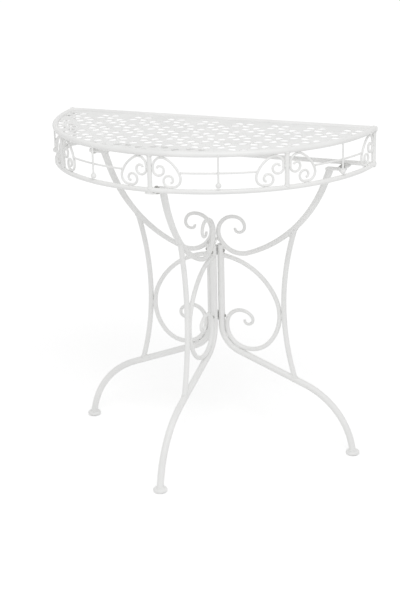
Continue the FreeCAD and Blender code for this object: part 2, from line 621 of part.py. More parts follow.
leg_turns = {"right": 0, "left": 180, "front": -90}
tab_bolts, tab_nuts, hub_bolts, hub_bores = [], [], [], {"upper": [], "lower": []}
bore = "Sizes.hub_bolt + 2 * Sizes.bolt_clearance"
for side, turn in leg_turns.items():
    frame = Placement(Vector(0, column_y, 0), Rotation(Vector(0, 0, 1), turn))

    def place(out, height):
        return frame.multVec(Vector(out, 0, height))

    # Arm, trimmed level under its tab
    above = ahead(arm_top, arm_heading, -overrun)
    arm_path = [line(above, arm_heading, overrun + size("arm_straight")), arm_sweep_run]
    top_stops = [start_of(arm_path[0], "Sizes.arm_top_bar"), end_of(arm_path[1], "Sizes.arm_bend_bar")]
    arm_sweep = bent_bar(f"arm_{side}_sweep", frame, arm_path, top_stops)
    bend_stops = [start_of(arm_bend_run, "Sizes.arm_bend_bar")]
    arm_bend = bent_bar(f"arm_{side}_bend", frame, [arm_bend_run], bend_stops)
    curl_stops = [start_of(arm_runs[3], "Sizes.arm_bend_bar"), end_of(arm_runs[-1], "Sizes.arm_tip_bar")]
    arm_curl = bent_bar(f"arm_{side}_curl", frame, arm_runs[3:], curl_stops)
    arm_bar = fuse(f"arm_{side}_bar", fuse(f"arm_{side}_joined", arm_sweep, arm_bend), arm_curl)
    level = doc.addObject("Part::Box", f"arm_{side}_level")
    level.Placement = frame.multiply(Placement(Vector(arm_top.x - overrun, -overrun, tab_base), Rotation()))
    bind(level, Length="3 * Sizes.cut_overrun", Width="2 * Sizes.cut_overrun", Height="2 * Sizes.cut_overrun")
    keep(cut(f"arm_{side}_trimmed", arm_bar, level), f"arm_{side}")

    # Lower leg, its top shaped to the arm's bend, its ankle trimmed level on the foot
    leg_bar = bent_bar(f"leg_{side}_bar", frame, leg_runs, [start_of(leg_runs[0], "Sizes.leg_bar")])
    seat_bar = "Sizes.arm_bend_bar + 2 * Sizes.weld_gap"
    arm_seat = bent_bar(f"arm_{side}_seat", frame, [arm_bend_run], [start_of(arm_bend_run, seat_bar)])
    floor = doc.addObject("Part::Box", f"leg_{side}_floor")
    floor_place = Vector(foot_out - overrun, -overrun, size("foot_height") - 2 * overrun)
    floor.Placement = frame.multiply(Placement(floor_place, Rotation()))
    bind(floor, Length="3 * Sizes.cut_overrun", Width="2 * Sizes.cut_overrun", Height="2 * Sizes.cut_overrun")
    radial = frame.Rotation.multiply(along_x)
    bores = []
    for level_name, height in hub_heights.items():
        tool = rod(f"bore_{side}_{level_name}", bore, "2 * Sizes.cut_overrun", place(0, height), radial)
        bores.append(tool)
        hub_bores[level_name].append(tool)
    keep(cut(f"leg_{side}_shaped", leg_bar, arm_seat, floor, *bores), f"lower_leg_{side}")

    # Leg scroll, its upper end shaped to the column bar
    swing_runs = turned_back(outward) + inward[:1]
    swing_stops = [start_of(swing_runs[0], "Sizes.leg_scroll_bar")]
    scroll_swing = bent_bar(f"scroll_{side}_swing", frame, swing_runs, swing_stops)
    tip_stops = [start_of(inward[1], "Sizes.leg_scroll_bar"), end_of(inward[-1], "Sizes.leg_scroll_tip_bar")]
    scroll_tip = bent_bar(f"scroll_{side}_tip", frame, inward[1:], tip_stops)
    scroll_bar = fuse(f"scroll_{side}_bar", scroll_swing, scroll_tip)
    seat_length = "2 * Sizes.cut_overrun"
    seat_foot = place(bar_out, scroll_top.y - overrun)
    column_seat = rod(f"column_{side}_seat", "Sizes.leg_bar + 2 * Sizes.weld_gap", seat_length, seat_foot)
    keep(cut(f"scroll_{side}_shaped", scroll_bar, column_seat), f"leg_scroll_{side}")

    # Brace, both ends shaped to the bars they meet
    brace_bar = bent_bar(f"brace_{side}_bar", frame, brace_runs, [start_of(brace_runs[0], "Sizes.brace_bar")])
    seats = []
    for name, here, heading, diameter in (
        ("arm", brace_at_arm.end, brace_at_arm.heading + brace_at_arm.turn, arm_bar_here),
        ("leg", brace_foot, leg_slope_run.heading, size("leg_bar")),
    ):
        seat = doc.addObject("Part::Cylinder", f"brace_{side}_{name}_seat")
        seat.Radius = diameter / 2 + gap
        bind(seat, Height="2 * Sizes.cut_overrun")
        seat_start = ahead(here, heading, -overrun)
        direction = ahead(Vector(), heading, 1)
        lie = Rotation(Vector(0, 0, 1), Vector(direction.x, 0, direction.y))
        seat.Placement = frame.multiply(Placement(Vector(seat_start.x, 0, seat_start.y), lie))
        seats.append(seat)
    keep(cut(f"brace_{side}_shaped", brace_bar, *seats), f"brace_{side}")

    # Foot: a round bun with a full-round edge
    foot = doc.addObject("PartDesign::Body", f"foot_{side}_body")
    foot.Placement = Placement(place(foot_out, 0), Rotation())
    profile = sketch_on(foot, f"foot_{side}_profile", "XZ_Plane")
    edge = size("foot_height") / 2
    flat = size("foot_width") / 2 - edge
    profile.addGeometry(Part.LineSegment(Vector(), Vector(flat, 0, 0)), False)
    ring = Part.Circle(Vector(flat, edge, 0), Vector(0, 0, 1), edge)
    profile.addGeometry(Part.ArcOfCircle(ring, -math.pi / 2, math.pi / 2), False)
    profile.addGeometry(Part.LineSegment(Vector(flat, 2 * edge, 0), Vector(0, 2 * edge, 0)), False)
    profile.addGeometry(Part.LineSegment(Vector(0, 2 * edge, 0), Vector()), False)
    profile.addConstraint(Sketcher.Constraint("Coincident", 0, 1, -1, 1))
    profile.addConstraint(Sketcher.Constraint("Horizontal", 0))
    profile.addConstraint(Sketcher.Constraint("Tangent", 0, 2, 1, 1))
    profile.addConstraint(Sketcher.Constraint("Tangent", 1, 2, 2, 1))
    profile.addConstraint(Sketcher.Constraint("Coincident", 2, 2, 3, 1))
    profile.addConstraint(Sketcher.Constraint("Coincident", 3, 2, 0, 1))
    profile.addConstraint(Sketcher.Constraint("Vertical", 3))
    number = profile.addConstraint(Sketcher.Constraint("Radius", 1, edge))
    profile.renameConstraint(number, "edge")
    profile.setExpression("Constraints.edge", "Sizes.foot_height / 2")
    number = profile.addConstraint(Sketcher.Constraint("DistanceX", 0, 1, 0, 2, flat))
    profile.renameConstraint(number, "flat")
    profile.setExpression("Constraints.flat", "Sizes.foot_width / 2 - Sizes.foot_height / 2")
    bun = foot.newObject("PartDesign::Revolution", f"foot_{side}_bun")
    bun.Profile = profile
    bun.ReferenceAxis = (profile, ["V_Axis"])
    keep(foot, f"foot_{side}")

    # Tab on the arm, and the lug above it on the top frame
    tab_start = arm_top.x - size("arm_top_bar") / 2 / math.cos(math.radians(size("arm_lean")))
    tab_frame = frame.multiply(Placement(Vector(tab_start, 0, tab_base), Rotation()))
    keep(plate(f"tab_{side}", tab_frame, bolt_out - tab_start), f"arm_tab_{side}")
    bolt_place = place(bolt_out, tab_base)
    lug_base = tab_base + size("plate_thickness")
    if side == "front":
        lug_start = Vector(0, back_y - rim_radius - size("hoop_bar") / 2, lug_base)
    else:
        lug_start = Vector(bolt_place.x, rail_y + size("hoop_bar") / 2, lug_base)
    inboard = bolt_place - lug_start
    facing = Rotation(Vector(0, 0, 1), math.degrees(math.atan2(inboard.y, inboard.x)))
    keep(plate(f"lug_{side}_plate", Placement(lug_start, facing), abs(inboard.y)), f"lug_{side}")

    # Bolt up through both plates, and its nut
    drop = Vector(0, 0, size("tab_bolt_head_height"))
    head = hexagon(f"tab_bolt_{side}_head", "Sizes.tab_bolt_head_height", bolt_place - drop)
    shank_length = "2 * Sizes.plate_thickness + 2 * Sizes.tab_bolt_head_height"
    shank = rod(f"tab_bolt_{side}_shank", "Sizes.tab_bolt", shank_length, bolt_place - drop / 2)
    tab_bolts.append(fuse(f"tab_bolt_{side}", head, shank))
    rise = Vector(0, 0, 2 * size("plate_thickness"))
    blank = hexagon(f"tab_nut_{side}_blank", "Sizes.tab_bolt_head_height", bolt_place + rise)
    thread_bore = "Sizes.tab_bolt + 2 * Sizes.weld_gap"
    thread = rod(f"tab_nut_{side}_bore", thread_bore, "2 * Sizes.cut_overrun", bolt_place)
    tab_nuts.append(cut(f"tab_nut_{side}", blank, thread))

    # Bolts that hold this column bar to the two cores
    for level_name, height in hub_heights.items():
        head_place = place(bar_face_out, height)
        head_name = f"hub_head_{side}_{level_name}"
        head = rod(head_name, "Sizes.hub_bolt_head", "Sizes.hub_bolt_head_height", head_place, radial)
        shank = doc.addObject("Part::Cylinder", f"hub_shank_{side}_{level_name}")
        shank_start = size("hub_bolt") / 2 + size("bolt_clearance") + gap
        shank.Placement = Placement(place(shank_start, height), radial)
        bind(shank, Radius="Sizes.hub_bolt / 2")
        shank.Height = head_face - size("hub_bolt_head_height") / 2 - shank_start
        hub_bolts.append(fuse(f"hub_bolt_{side}_{level_name}", head, shank))

group("tab_bolts", tab_bolts)
group("tab_nuts", tab_nuts)
group("hub_bolts", hub_bolts)

# Cores between the column bars, bored for the bolts from each bar
for level_name, height in hub_heights.items():
    core = doc.addObject("Part::Cylinder", f"hub_{level_name}_core")
    core.Placement = Placement(Vector(0, column_y, height - size("hub_height") / 2), Rotation())
    core.Radius = bar_out - size("leg_bar") / 2 - gap
    bind(core, Height="Sizes.hub_height")
    keep(cut(f"hub_{level_name}", core, *hub_bores[level_name]), f"column_hub_{level_name}")

doc.recompute()

# Nothing is written unless every object is sound
faults = [item.Name for item in doc.Objects if {"Invalid", "Error"} & set(item.State)]
for piece in sub_parts:
    if piece.Shape.isNull() or not piece.Shape.isValid() or not piece.Shape.Solids:
        faults.append(piece.Label)
if faults:
    raise RuntimeError("unsound: " + ", ".join(faults))
for piece in sub_parts:
    piece.Shape.exportStep(f"parts/{piece.Label}.step")
print(len(sub_parts), "sub-parts,", len(petals), "petals")
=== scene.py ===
import math

import bmesh
import bpy
from mathutils import Matrix, Quaternion, Vector
from mathutils.geometry import delaunay_2d_cdt


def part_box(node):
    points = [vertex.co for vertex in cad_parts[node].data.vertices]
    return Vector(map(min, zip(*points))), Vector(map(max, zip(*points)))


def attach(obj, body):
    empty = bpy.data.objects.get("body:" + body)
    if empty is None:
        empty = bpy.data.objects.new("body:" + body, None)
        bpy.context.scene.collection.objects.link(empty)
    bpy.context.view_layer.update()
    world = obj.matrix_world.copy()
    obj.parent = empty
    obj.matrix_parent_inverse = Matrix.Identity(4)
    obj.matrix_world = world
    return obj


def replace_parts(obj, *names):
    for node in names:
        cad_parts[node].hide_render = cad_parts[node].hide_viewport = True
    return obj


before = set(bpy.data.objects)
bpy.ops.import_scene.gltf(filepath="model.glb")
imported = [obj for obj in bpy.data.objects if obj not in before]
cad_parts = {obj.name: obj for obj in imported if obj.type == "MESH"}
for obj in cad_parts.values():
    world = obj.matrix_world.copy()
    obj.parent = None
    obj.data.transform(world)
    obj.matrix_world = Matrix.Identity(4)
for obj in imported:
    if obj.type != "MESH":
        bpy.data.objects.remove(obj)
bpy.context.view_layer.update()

# Rim hoop and back rail round the top, and the lower hoop and rail at the foot of the apron.
# Drawn round steel bar, bent to the half round; the frame is welded up, then powder coated white.


def linear(code):
    """An sRGB hex colour as linear RGBA."""
    colour = []
    for start in (0, 2, 4):
        share = int(code[start:start + 2], 16) / 255
        colour.append(share / 12.92 if share <= 0.04045 else ((share + 0.055) / 1.055) ** 2.4)
    return colour + [1]


def add(tree, kind, settings, inputs):
    """Adds a node with its settings, and fills its inputs with values or links."""
    node = tree.nodes.new(kind)
    for name, value in settings.items():
        setattr(node, name, value)
    for name, value in inputs.items():
        if isinstance(value, bpy.types.NodeSocket):
            tree.links.new(value, node.inputs[name])
        else:
            node.inputs[name].default_value = value
    return node


def empty_tree(owner):
    """Clears the nodes of a material or a world, ready to be filled."""
    owner.use_nodes = True
    owner.node_tree.nodes.clear()
    return owner.node_tree


# Polyester powder coat, sprayed dry and baked: it flows out to a satin skin with orange peel.
# Real peel is 2 mm from crest to crest, drawn here at 5 mm so that it shows.
# Tint and gloss drift a little over 90 mm, as the coat lies thicker or thinner.
peel_size, drift_size = 5, 90
powder_coat = bpy.data.materials.new("white_polyester_powder_coat")
tree = empty_tree(powder_coat)
place = add(tree, "ShaderNodeTexCoord", {}, {}).outputs["Object"]
peel = add(tree, "ShaderNodeTexNoise", {}, {"Vector": place, "Scale": 1000 / peel_size, "Detail": 1.5})
drift = add(tree, "ShaderNodeTexNoise", {}, {"Vector": place, "Scale": 1000 / drift_size, "Detail": 3})
tint = add(tree, "ShaderNodeValToRGB", {}, {"Fac": drift.outputs["Fac"]})
tint.color_ramp.elements[0].position = 0.35
tint.color_ramp.elements[0].color = linear("F1F1F0")
tint.color_ramp.elements[1].position = 0.65
tint.color_ramp.elements[1].color = linear("F7F7F6")
gloss = add(tree, "ShaderNodeMapRange", {}, {
    "Value": drift.outputs["Fac"], "To Min": 0.34, "To Max": 0.46,
})
skin = add(tree, "ShaderNodeBump", {}, {
    "Height": peel.outputs["Fac"], "Strength": 0.12, "Distance": 0.0004,
})
coat = add(tree, "ShaderNodeBsdfPrincipled", {}, {
    "Base Color": tint.outputs["Color"], "Roughness": gloss.outputs["Result"],
    "IOR": 1.5, "Normal": skin.outputs["Normal"],
})
add(tree, "ShaderNodeOutputMaterial", {}, {"Surface": coat.outputs["BSDF"]})


def finish_nodes(material, *names):
    """Gives carried-over pieces their finish."""
    for name in names:
        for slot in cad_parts[name].material_slots:
            slot.material = material


finish_nodes(powder_coat, "top_rim_hoop", "top_back_rail", "lower_hoop", "lower_back_rail")

# Posts at the corners and every eighth of a turn, cut from thinner bar.
# Each end is coped to the hoop it meets and closed with a bead of weld, softened by the coat.


def box_of(node):
    """A node's lowest and highest corners, in millimetres."""
    return [corner * 1000 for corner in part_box(node)]


rail_low, rail_high = box_of("top_back_rail")
rim_bar = rail_high.z - rail_low.z
rim_z = rail_high.z - rim_bar / 2
rim_radius = rail_high.x - rim_bar / 2
rail_y = (rail_low.y + rail_high.y) / 2
# The middle of the half round lies on the flat back
back_y = rail_y + rim_bar / 2
hoop_low, hoop_high = box_of("lower_back_rail")
hoop_bar = hoop_high.z - hoop_low.z
hoop_z = hoop_high.z - hoop_bar / 2
post_low, post_high = box_of("post_front")
post_bar = post_high.x - post_low.x
corner_angle = math.degrees(math.asin((back_y - rail_y) / rim_radius))
post_places = {
    "left_corner": corner_angle, "left_front": 45, "front": 90,
    "right_front": 135, "right_corner": 180 - corner_angle,
}
finish_nodes(powder_coat, *["post_" + name for name in post_places])


def on_rim(angle, height, radius=rim_radius):
    """A place over the rim, in millimetres, its angle counted from the left corner."""
    turn = math.radians(180 + angle)
    return Vector((radius * math.cos(turn), back_y + radius * math.sin(turn), height))


def along_rim(angle):
    """The rim's direction at an angle."""
    turn = math.radians(270 + angle)
    return Vector((math.cos(turn), math.sin(turn), 0))


# Beads have eight sides and a ring of points each 0.8 mm, and ripple by a tenth of their width.
# The short ones have 18 rings round a bar, or 8 along a groove.
bead_sides, bead_step, ripple, ripple_turn = 8, 0.8, 0.1, 2.2
least_round, least_straight = 18, 8


def bead(mesh, path, across, width, closed):
    """Lays a rippled bead of weld along a path; across is a direction that the path never takes."""
    rings = []
    for index, point in enumerate(path):
        last = path[index - 1] if closed or index else point
        following = path[(index + 1) % len(path)] if closed or index < len(path) - 1 else point
        heading = (following - last).normalized()
        side = heading.cross(across).normalized()
        rise = side.cross(heading)
        swell = 1 + ripple * math.sin(ripple_turn * index)
        if not closed:
            # The bead runs out to blunt ends
            swell *= math.sin(math.pi * (index + 0.7) / (len(path) + 0.4)) ** 0.5
        ring = []
        for step in range(bead_sides):
            turn = math.tau * step / bead_sides
            spoke = side * math.cos(turn) + rise * math.sin(turn)
            ring.append(mesh.verts.new(point + spoke * (swell * width / 2)))
        rings.append(ring)
    for ring, other in zip(rings, rings[1:] + rings[:1] if closed else rings[1:]):
        for step in range(bead_sides):
            mesh.faces.new((ring[step], ring[step - 1], other[step - 1], other[step]))
    if not closed:
        mesh.faces.new(rings[0])
        mesh.faces.new(rings[-1][::-1])


def round_weld(mesh, start, ahead, bar, seat, lie, seat_bar, width):
    """A bead round the end of a bar, where it runs ahead on to the bar that lies through seat."""
    side = ahead.orthogonal().normalized()
    other = ahead.cross(side)
    count = max(least_round, int(math.pi * bar / bead_step))
    short_of_seat, off_bar = 0.15 * width, 0.1 * width
    slant = ahead - lie * ahead.dot(lie)
    square = slant.dot(slant)
    path = []
    for index in range(count):
        turn = math.tau * index / count
        spoke = side * math.cos(turn) + other * math.sin(turn)
        edge = start + spoke * (bar / 2)
        off = edge - seat
        off -= lie * off.dot(lie)
        middle = off.dot(slant)
        inside = middle ** 2 - square * (off.dot(off) - (seat_bar / 2) ** 2)
        travel = (-middle - math.sqrt(max(inside, 0))) / square
        path.append(edge + ahead * (travel - short_of_seat) + spoke * off_bar)
    bead(mesh, path, ahead, width, True)


def seam_weld(mesh, middle, heading, outward, length, width):
    """A short straight bead in the groove between two bars that touch."""
    count = max(least_straight, int(length / bead_step))
    path = [middle + heading * (length * (index / (count - 1) - 0.5)) for index in range(count)]
    bead(mesh, path, outward, width, False)


def set_piece(name, mesh, material):
    """Turns a mesh drawn in millimetres into a piece that rides on the table."""
    bmesh.ops.scale(mesh, vec=(0.001, 0.001, 0.001), verts=mesh.verts)
    bmesh.ops.recalc_face_normals(mesh, faces=mesh.faces)
    for face in mesh.faces:
        face.smooth = True
    data = bpy.data.meshes.new(name)
    mesh.to_mesh(data)
    mesh.free()
    data.materials.append(material)
    piece = bpy.data.objects.new(name, data)
    bpy.context.scene.collection.objects.link(piece)
    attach(piece, "root")
    return piece


right, rear, up = Vector((1, 0, 0)), Vector((0, 1, 0)), Vector((0, 0, 1))
frame_bead = 2.4
levels = ((rim_z, rim_bar, up), (hoop_z, hoop_bar, -up))
welds = bmesh.new()
for angle in post_places.values():
    middle = on_rim(angle, (rim_z + hoop_z) / 2)
    for height, bar, ahead in levels:
        seat = on_rim(angle, height)
        round_weld(welds, middle, ahead, post_bar, seat, along_rim(angle), bar, frame_bead)
# The hoops' ends run on to the rails at the corners
rail_end = rim_radius * math.cos(math.radians(corner_angle))
for side in (-1, 1):
    for height, bar, _ in levels:
        start = Vector((side * rail_end, 0, height))
        round_weld(welds, start, rear, bar, Vector((0, rail_y, height)), right, bar, frame_bead)
set_piece("top_frame_welds", welds, powder_coat)

# Top: one half-round steel sheet, stamped with rosettes of four petals, set just under the rim's
# crown and tacked to it from below. The stamping leaves the thin sheet slightly rolling.
# The rolls are about 60 mm across, and the coat lies flatter on the sheet than on the bars.
roll_size = 60
stamped_sheet = bpy.data.materials.new("white_powder_coat_on_stamped_sheet")
tree = empty_tree(stamped_sheet)
place = add(tree, "ShaderNodeTexCoord", {}, {}).outputs["Object"]
peel = add(tree, "ShaderNodeTexNoise", {}, {"Vector": place, "Scale": 1000 / peel_size, "Detail": 1.5})
roll = add(tree, "ShaderNodeTexNoise", {}, {"Vector": place, "Scale": 1000 / roll_size, "Detail": 1})
tint = add(tree, "ShaderNodeValToRGB", {}, {"Fac": roll.outputs["Fac"]})
tint.color_ramp.elements[0].position = 0.3
tint.color_ramp.elements[0].color = linear("F0F0EF")
tint.color_ramp.elements[1].position = 0.7
tint.color_ramp.elements[1].color = linear("F6F6F5")
gloss = add(tree, "ShaderNodeMapRange", {}, {
    "Value": roll.outputs["Fac"], "To Min": 0.38, "To Max": 0.5,
})
rolls = add(tree, "ShaderNodeBump", {}, {
    "Height": roll.outputs["Fac"], "Strength": 0.35, "Distance": 0.002,
})
skin = add(tree, "ShaderNodeBump", {}, {
    "Height": peel.outputs["Fac"], "Strength": 0.1, "Distance": 0.0004, "Normal": rolls.outputs["Normal"],
})
coat = add(tree, "ShaderNodeBsdfPrincipled", {}, {
    "Base Color": tint.outputs["Color"], "Roughness": gloss.outputs["Result"],
    "IOR": 1.5, "Normal": skin.outputs["Normal"],
})
add(tree, "ShaderNodeOutputMaterial", {}, {"Surface": coat.outputs["BSDF"]})

# Edge and holes in the sheet's plane, in millimetres from the middle of the half round
sheet_low, sheet_high = box_of("top_panel")
sheet_top, sheet_under = sheet_high.z, sheet_low.z
sheet_back = sheet_high.y - back_y
sheet_radius = math.hypot(sheet_high.x, sheet_back)
rosette_step, rosette_setback, rosette_rows, rosette_columns = 40, 56, 9, 9
petal_tip, petal_middle, petal_round, petal_steps = 4, 18, 8, 16
edge_steps, edge_web, trim_turn, trim_cuts, least_hole = 180, 1.2, 2.5, 4, 40


def petal(middle, bearing):
    """A teardrop hole, with its point near the rosette's middle and a round outer end."""
    spread = math.acos(petal_round / (petal_middle - petal_tip))
    outline = [Vector((petal_tip, 0))]
    for step in range(petal_steps + 1):
        angle = math.pi + spread + step / petal_steps * (math.tau - 2 * spread)
        across = petal_round * math.sin(angle)
        outline.append(Vector((petal_middle + petal_round * math.cos(angle), across)))
    turn = Matrix.Rotation(math.radians(bearing), 2)
    return [middle + turn @ point for point in outline]


def trimmed(outline):
    """A hole cut off along the rim, where the sheet's edge runs through the pattern."""
    middle = sum(outline, Vector((0, 0))) / len(outline)
    bearing = math.atan2(middle.y, middle.x)
    for step in range(-trim_cuts, trim_cuts + 1):
        turn = bearing + math.radians(trim_turn * step)
        outward = Vector((math.cos(turn), math.sin(turn)))
        kept = []
        for last, point in zip(outline[-1:] + outline[:-1], outline):
            before, after = (spot.dot(outward) - sheet_radius + edge_web for spot in (last, point))
            if before * after < 0:
                kept.append(last.lerp(point, before / (before - after)))
            if after <= 0:
                kept.append(point)
        outline = kept
    return outline


def area(outline):
    """The area inside an outline."""
    return sum(last.cross(point) for last, point in zip(outline[-1:] + outline[:-1], outline)) / 2


corner = math.asin(-sheet_back / sheet_radius)
edge = []
for step in range(edge_steps + 1):
    turn = math.pi + corner + step / edge_steps * (math.pi - 2 * corner)
    edge.append(Vector((sheet_radius * math.cos(turn), sheet_radius * math.sin(turn))))
loops = [edge]
for row in range(rosette_rows):
    for column in range(-rosette_columns, rosette_columns + 1):
        middle = Vector((column * rosette_step, -rosette_setback - row * rosette_step))
        if (row + column) % 2 == 0 and middle.length < sheet_radius + rosette_step:
            # Upright and slanting rosettes take turns from row to row
            for bearing in range(45 * ((row + 1) % 2), 360, 90):
                hole = trimmed(petal(middle, bearing))
                if len(hole) > 2 and area(hole) > least_hole:
                    loops.append(hole)
spots, bounds, owners = [], [], []
for number, loop in enumerate(loops):
    first = len(spots)
    bounds += [(first + index, first + (index + 1) % len(loop)) for index in range(len(loop))]
    owners += [number] * len(loop)
    spots += loop
inside_edge, merge_within = 1, 0.001
spots, _, triangles, sources, *_ = delaunay_2d_cdt(spots, bounds, [], inside_edge, merge_within)
sheet = bmesh.new()
crown = [sheet.verts.new((spot.x, back_y + spot.y, sheet_top)) for spot in spots]
under = [sheet.verts.new((spot.x, back_y + spot.y, sheet_under)) for spot in spots]
for corners in triangles:
    homes = {owners[sources[index][0]] for index in corners}
    # A triangle with all its corners on one hole lies in that hole
    if len(homes) > 1 or 0 in homes:
        sheet.faces.new([crown[index] for index in corners])
        sheet.faces.new([under[index] for index in reversed(corners)])
below = dict(zip(crown, under))
for side in [side for side in sheet.edges if len(side.link_faces) == 1 and side.verts[0] in below]:
    first, last = side.verts
    sheet.faces.new((first, last, below[last], below[first]))
piece = set_piece("pierced_sheet", sheet, stamped_sheet)
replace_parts(piece, "top_panel")
# The coat rounds the punched edges by a quarter of a millimetre
soft = piece.modifiers.new("soft_edges", "BEVEL")
soft.width = 0.00025
soft.segments = 2
soft.limit_method = "ANGLE"
soft.angle_limit = math.radians(50)
piece.modifiers.new("flat_faces", "WEIGHTED_NORMAL")
sheet_tack_length, sheet_tack_bead, tack_gap, tack_drop = 14, 2.2, 0.2, 0.9
tack_z = sheet_under - tack_drop
rim_tack_turn, rail_tack_step, rail_tack_reach = 18, 108, 270
tacks = bmesh.new()
for angle in range(rim_tack_turn // 2, 180, rim_tack_turn):
    along = along_rim(angle)
    spot = on_rim(angle, tack_z, sheet_radius - tack_gap)
    seam_weld(tacks, spot, along, up.cross(along), sheet_tack_length, sheet_tack_bead)
for x in range(-rail_tack_reach, rail_tack_reach + 1, rail_tack_step):
    spot = Vector((x, back_y + sheet_back - tack_gap, tack_z))
    seam_weld(tacks, spot, right, rear, sheet_tack_length, sheet_tack_bead)
set_piece("sheet_tacks", tacks, powder_coat)

# Apron scrolls: thin bar bent cold round a jig into one S-shaped scroll on each side of a post.
# A scroll is tacked where it touches the post, the rim above it and the hoop below it.
angles = list(post_places.values())
bays = list(zip(angles, angles[1:]))
finish_nodes(powder_coat, *[f"apron_scroll_{number + 1}" for number in range(2 * len(bays))])
# It stands on a chord of the hoop, from its post to the end of the bay's wire
scroll_chord = 64.45
reach = 2 * math.degrees(math.asin(scroll_chord / (2 * rim_radius)))
# Where it touches: distance along the chord, and height
post_gap, hoop_gap = 0.15, 0.1
at_post = (post_bar / 2 + post_gap, 703.5)
at_rim = (25.45, rim_z - rim_bar / 2 - hoop_gap)
at_hoop = (44, hoop_z + hoop_bar / 2 + hoop_gap)
scroll_tack_out, scroll_tack_length, scroll_tack_bead = 2.1, 7, 1.9
tacks = bmesh.new()
for first, last in bays:
    for angle, turn in ((first, reach), (last, -reach)):
        post = on_rim(angle, 0)
        chord = (on_rim(angle + turn, 0) - post).normalized()
        outward = chord.cross(up)
        for face in (-1, 1):
            for (along, height), heading in ((at_post, up), (at_rim, chord), (at_hoop, chord)):
                middle = post + chord * along + up * height + outward * (face * scroll_tack_out)
                seam_weld(tacks, middle, heading, outward, scroll_tack_length, scroll_tack_bead)
set_piece("apron_tacks", tacks, powder_coat)

# Bay wires and drops: hard drawn wire between the scrolls, with a rod hung from the rim across it.
# Each rod carries a turned ball, and a touch of weld holds rod and wire where they cross.
for kind in ("bay_wire", "drop_rod", "drop_ball"):
    finish_nodes(powder_coat, *[f"{kind}_{number + 1}" for number in range(len(bays))])
wire_low, wire_high = box_of("bay_wire_1")
wire_z = (wire_low.z + wire_high.z) / 2
rod_low, rod_high = box_of("drop_rod_1")
rod_bar = rod_high.x - rod_low.x
rod_middle = (rod_low + rod_high) / 2
rod_radius = math.hypot(rod_middle.x, rod_middle.y - back_y)
rod_bead = 1.4
crossing_out, crossing_length, crossing_bead = 1.9, 4, 1.3
nugget_back, nugget_length, nugget_bead = 1, 6.5, 4.8
tacks = bmesh.new()
for first, last in bays:
    middle = (first + last) / 2
    heading = along_rim(middle)
    rod = on_rim(middle, wire_z, rod_radius)
    round_weld(tacks, rod, up, rod_bar, on_rim(middle, rim_z), heading, rim_bar, rod_bead)
    for face in (-1, 1):
        crossing = on_rim(middle, wire_z, (rim_radius + rod_radius) / 2) + heading * (face * crossing_out)
        seam_weld(tacks, crossing, up, heading.cross(up), crossing_length, crossing_bead)
    for angle, turn in ((first, reach), (last, -reach)):
        # A nugget of weld fills the corner between the wire's end and the scroll, which leans away
        heading = along_rim(angle + turn) * math.copysign(1, -turn)
        nugget = on_rim(angle + turn, wire_z) - heading * nugget_back
        seam_weld(tacks, nugget, heading, up, nugget_length, nugget_bead)
set_piece("wire_tacks", tacks, powder_coat)

# Lugs: flat steel plates with one round end, welded under the hoop and rail to take the legs' bolts.
# A bead runs along the bar on each side, nearly as long as the plate is wide.
finish_nodes(powder_coat, "lug_right", "lug_left", "lug_front")
lug_low, lug_high = box_of("lug_right")
lug_out, lug_top = (lug_low.x + lug_high.x) / 2, lug_high.z
lug_weld_out, lug_weld_up, lug_weld_length = 3.4, 0.8, 18
welds = bmesh.new()
for face in (-1, 1):
    for x, y in ((lug_out, rail_y), (-lug_out, rail_y), (0, back_y - rim_radius)):
        middle = Vector((x, y + face * lug_weld_out, lug_top + lug_weld_up))
        seam_weld(welds, middle, right, rear * face, lug_weld_length, frame_bead)
set_piece("lug_welds", welds, powder_coat)

# Leg frames: forged and drawn round bar, the arm tapering from its tab to its curled tip.
# Arm, column bar, scroll and brace lie in one plane and are welded where they meet.
sides = {"right": 0, "left": 180, "front": -90}
for kind in ("arm", "arm_tab", "lower_leg", "leg_scroll", "brace"):
    finish_nodes(powder_coat, *[f"{kind}_{side}" for side in sides])
leg_low, leg_high = box_of("lower_leg_right")
column_bar = leg_high.y - leg_low.y
column_y = (leg_low.y + leg_high.y) / 2
column_out = leg_low.x + column_bar / 2
foot_top = box_of("foot_right")[1].z
tab_under = box_of("arm_tab_right")[0].z
brace_bar, scroll_bar, arm_bar, curl_bar, arm_top_bar = 11.5, 10, 12.77, 10.5, 15.5
# Joints in the leg's plane: distance out from the column's middle and height, the angle at which the
# bar runs on to the other, its thickness, and the angle and thickness of the other
brace_on_arm = ((188.95, 513.31), 72.51, brace_bar, 224.96, arm_bar)
brace_on_leg = ((188.79, 159.78), 287.44, brace_bar, -21, column_bar)
scroll_on_column = ((column_out, 434.28), 176.06, scroll_bar, 90, column_bar)
column_on_curl = ((column_out, 468.56), 90, column_bar, 128.2, curl_bar)
# Joints with a flat face, which is met as the side of a bar of 2 m
leg_on_foot = ((324.29, foot_top), -78.7, column_bar)
arm_on_tab = ((266.58, tab_under), 70, arm_top_bar)
flat_face_bar = 2000
# Grooves: the scroll beside the brace, and round the bend of the leg that it nests in
brace_groove, brace_groove_out, brace_groove_length = Vector((156.7, 0, 305.2)), 3.1, 18
bend_middle, bend_radius, bend_angles = Vector((77.75, 0, 271.75)), 57.1, (205, 240)
bend_groove_out, bend_groove_length = 3.2, 16
leg_bead, groove_bead, run_up = 2.6, 3, 20


def heading_of(angle):
    """A direction in the leg's plane, from its angle above level."""
    return Vector((math.cos(math.radians(angle)), 0, math.sin(math.radians(angle))))


def stand_of(turn):
    """Carries what is drawn in the leg's plane to a leg's place round the column."""
    return Matrix.Translation((0, column_y, 0)) @ Matrix.Rotation(math.radians(turn), 4, "Z")


